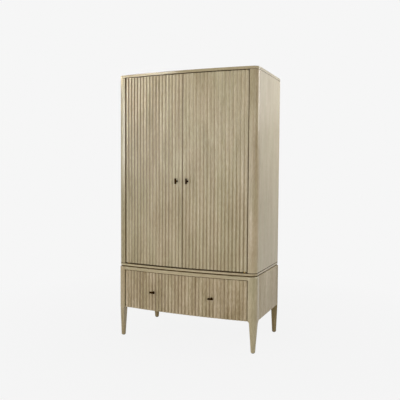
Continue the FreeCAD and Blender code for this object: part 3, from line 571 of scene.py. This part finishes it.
# The doors' joints: painted shade heaviest at the left door's upper left, painted light at the right door's
# top.
for door, start, seed, joint_shade_and_light in (("left_door", -door_last, 1.73, (1.55, 0.25, 0.35, 0.5)),
                                 ("right_door", door_first, 4.19, (-0.1, -0.3, 0.5, 0.5))):
    bowed_core(door + "_core")
    door_strips = reed_strips(door_radius, start, door_pitch, door_reed_count, door_low.z, door_high.z,
                              seed=seed, joint_shade_and_light=joint_shade_and_light, spotty=0.3)
    finished_piece(door_strips, door + "_reeds_finished", door_reed_oak, "oak", door, door + "_reeds")
    eased_copy(door + "_knob", knob_ease, bronze, "bronze")
    eased_copy(door + "_bushes", fitting_ease, brass, "brass")
    eased_copy(door + "_strike", fitting_ease, zinc, "steel")
    eased_copy(door + "_knob_screw", fitting_ease, zinc, "steel")


# Studio: a pale floor that fades into a background of the same white. Soft boxes light the front and both
# sides, and two narrow beams, from the left front and the right rear, pick out the upper edges. Only the
# floor near the legs takes a shadow.
white = linear("F6F6F6")


def seen_directly(tree):
    """1 for rays that show the background itself: from the camera, in gloss and through glass."""
    path = add_node(tree, "LightPath", {}).outputs
    either = add_node(tree, "Math", {0: path["Is Camera Ray"], 1: path["Is Glossy Ray"]},
                      operation="MAXIMUM").outputs[0]
    return add_node(tree, "Math", {0: either, 1: path["Is Transmission Ray"]}, operation="MAXIMUM").outputs[0]


floor_work = bmesh.new()
bmesh.ops.create_circle(floor_work, cap_ends=True, segments=96, radius=16.0)
floor_mesh = bpy.data.meshes.new("studio_floor")
floor_work.to_mesh(floor_mesh)
floor_work.free()
floor = bpy.data.objects.new("studio_floor", floor_mesh)
bpy.context.scene.collection.objects.link(floor)
floor_paper = bpy.data.materials.new("white_paper_floor")
floor_paper.use_nodes = True
tree = floor_paper.node_tree
tree.nodes.clear()
shadow_full, shadow_gone = 0.7, 2.6
glow_in_shadow = 0.955
place = add_node(tree, "TexCoord", {}).outputs["Object"]
reach = add_node(tree, "VectorMath", {0: place}, operation="LENGTH").outputs["Value"]
fade = add_node(tree, "MapRange", {"Value": reach, "From Min": shadow_full, "From Max": shadow_gone,
                                   "To Min": glow_in_shadow, "To Max": 1.0}).outputs[0]
glow = add_node(tree, "Math", {0: fade, 1: seen_directly(tree)}, operation="MULTIPLY").outputs[0]
paper = add_node(tree, "BsdfDiffuse", {"Color": linear("EFEFEE")}).outputs[0]
backdrop = add_node(tree, "Emission", {"Color": white, "Strength": 1.0}).outputs[0]
surface = add_node(tree, "MixShader", {0: glow, 1: paper, 2: backdrop}).outputs[0]
add_node(tree, "OutputMaterial", {"Surface": surface})
floor_mesh.materials.append(floor_paper)

world = bpy.data.worlds.new("white_studio")
bpy.context.scene.world = world
world.use_nodes = True
tree = world.node_tree
tree.nodes.clear()
fill = add_node(tree, "Background", {"Color": linear("FFFFFF"), "Strength": 0.1}).outputs[0]
backdrop = add_node(tree, "Background", {"Color": white, "Strength": 1.0}).outputs[0]
surface = add_node(tree, "MixShader", {0: seen_directly(tree), 1: fill, 2: backdrop}).outputs[0]
add_node(tree, "OutputWorld", {"Surface": surface})

for name, spot, target, wide, high, power, spread in (
        ("left_rim_softbox", (-1.9, 0.2, 2.6), (-0.55, -0.2, 1.6), 0.8, 0.8, 13.0, 180),
        ("left_softbox", (-2.8, -2.4, 1.8), (-0.3, -0.3, 0.9), 1.2, 1.2, 35.0, 180),
        ("left_strip_softbox", (-1.6, -2.6, 2.5), (-0.6, -0.28, 2.12), 0.35, 0.8, 1.15, 24),
        ("overhead_softbox", (-0.2, -2.4, 4.0), (-0.1, -0.3, 1.4), 1.6, 1.6, 11.5, 180),
        ("front_softbox", (0.6, -4.6, 1.1), (-0.1, -0.3, 0.8), 2.0, 2.0, 56.0, 180),
        ("right_front_softbox", (2.8, -2.8, 1.6), (0.3, -0.3, 1.2), 1.4, 1.4, 22.0, 180),
        ("right_softbox", (2.0, 0.8, 2.1), (0.55, 0.1, 1.7), 0.9, 0.9, 21.5, 180),
        ("right_rear_softbox", (1.6, 3.6, 2.6), (0.56, 0.0, 1.9), 1.2, 1.2, 0.11, 40)):
    lamp = bpy.data.lights.new(name, "AREA")
    lamp.shape = "RECTANGLE"
    lamp.size, lamp.size_y = wide, high
    lamp.energy = power
    lamp.spread = math.radians(spread)
    lamp_object = bpy.data.objects.new(name, lamp)
    lamp_object.location = spot
    lamp_object.rotation_euler = (Vector(target) - Vector(spot)).to_track_quat("-Z", "Y").to_euler()
    lamp_object.visible_camera = False
    bpy.context.scene.collection.objects.link(lamp_object)


# Camera: a little above the middle of the doors and right of the front, as the photograph was taken. Its
# place and angles come from a fit to the wardrobe's edges.
camera = bpy.data.cameras.new("photo_camera")
camera.lens = 47.784
camera.sensor_width = 36.0
camera_object = bpy.data.objects.new("photo_camera", camera)
swing, dip, roll = math.radians(23.32), math.radians(3.013), math.radians(0.366)
ahead = Vector((-math.sin(swing) * math.cos(dip), math.cos(swing) * math.cos(dip), -math.sin(dip)))
level = Vector((math.cos(swing), math.sin(swing), 0))
upright = level.cross(ahead)
right = math.cos(roll) * level + math.sin(roll) * upright
up = math.cos(roll) * upright - math.sin(roll) * level
camera_object.matrix_world = Matrix((right, up, -ahead)).transposed().to_4x4()
camera_object.location = (1.63744, -3.77675, 1.27314)
bpy.context.scene.collection.objects.link(camera_object)
bpy.context.scene.camera = camera_object
bpy.context.scene.view_settings.view_transform = "Standard"
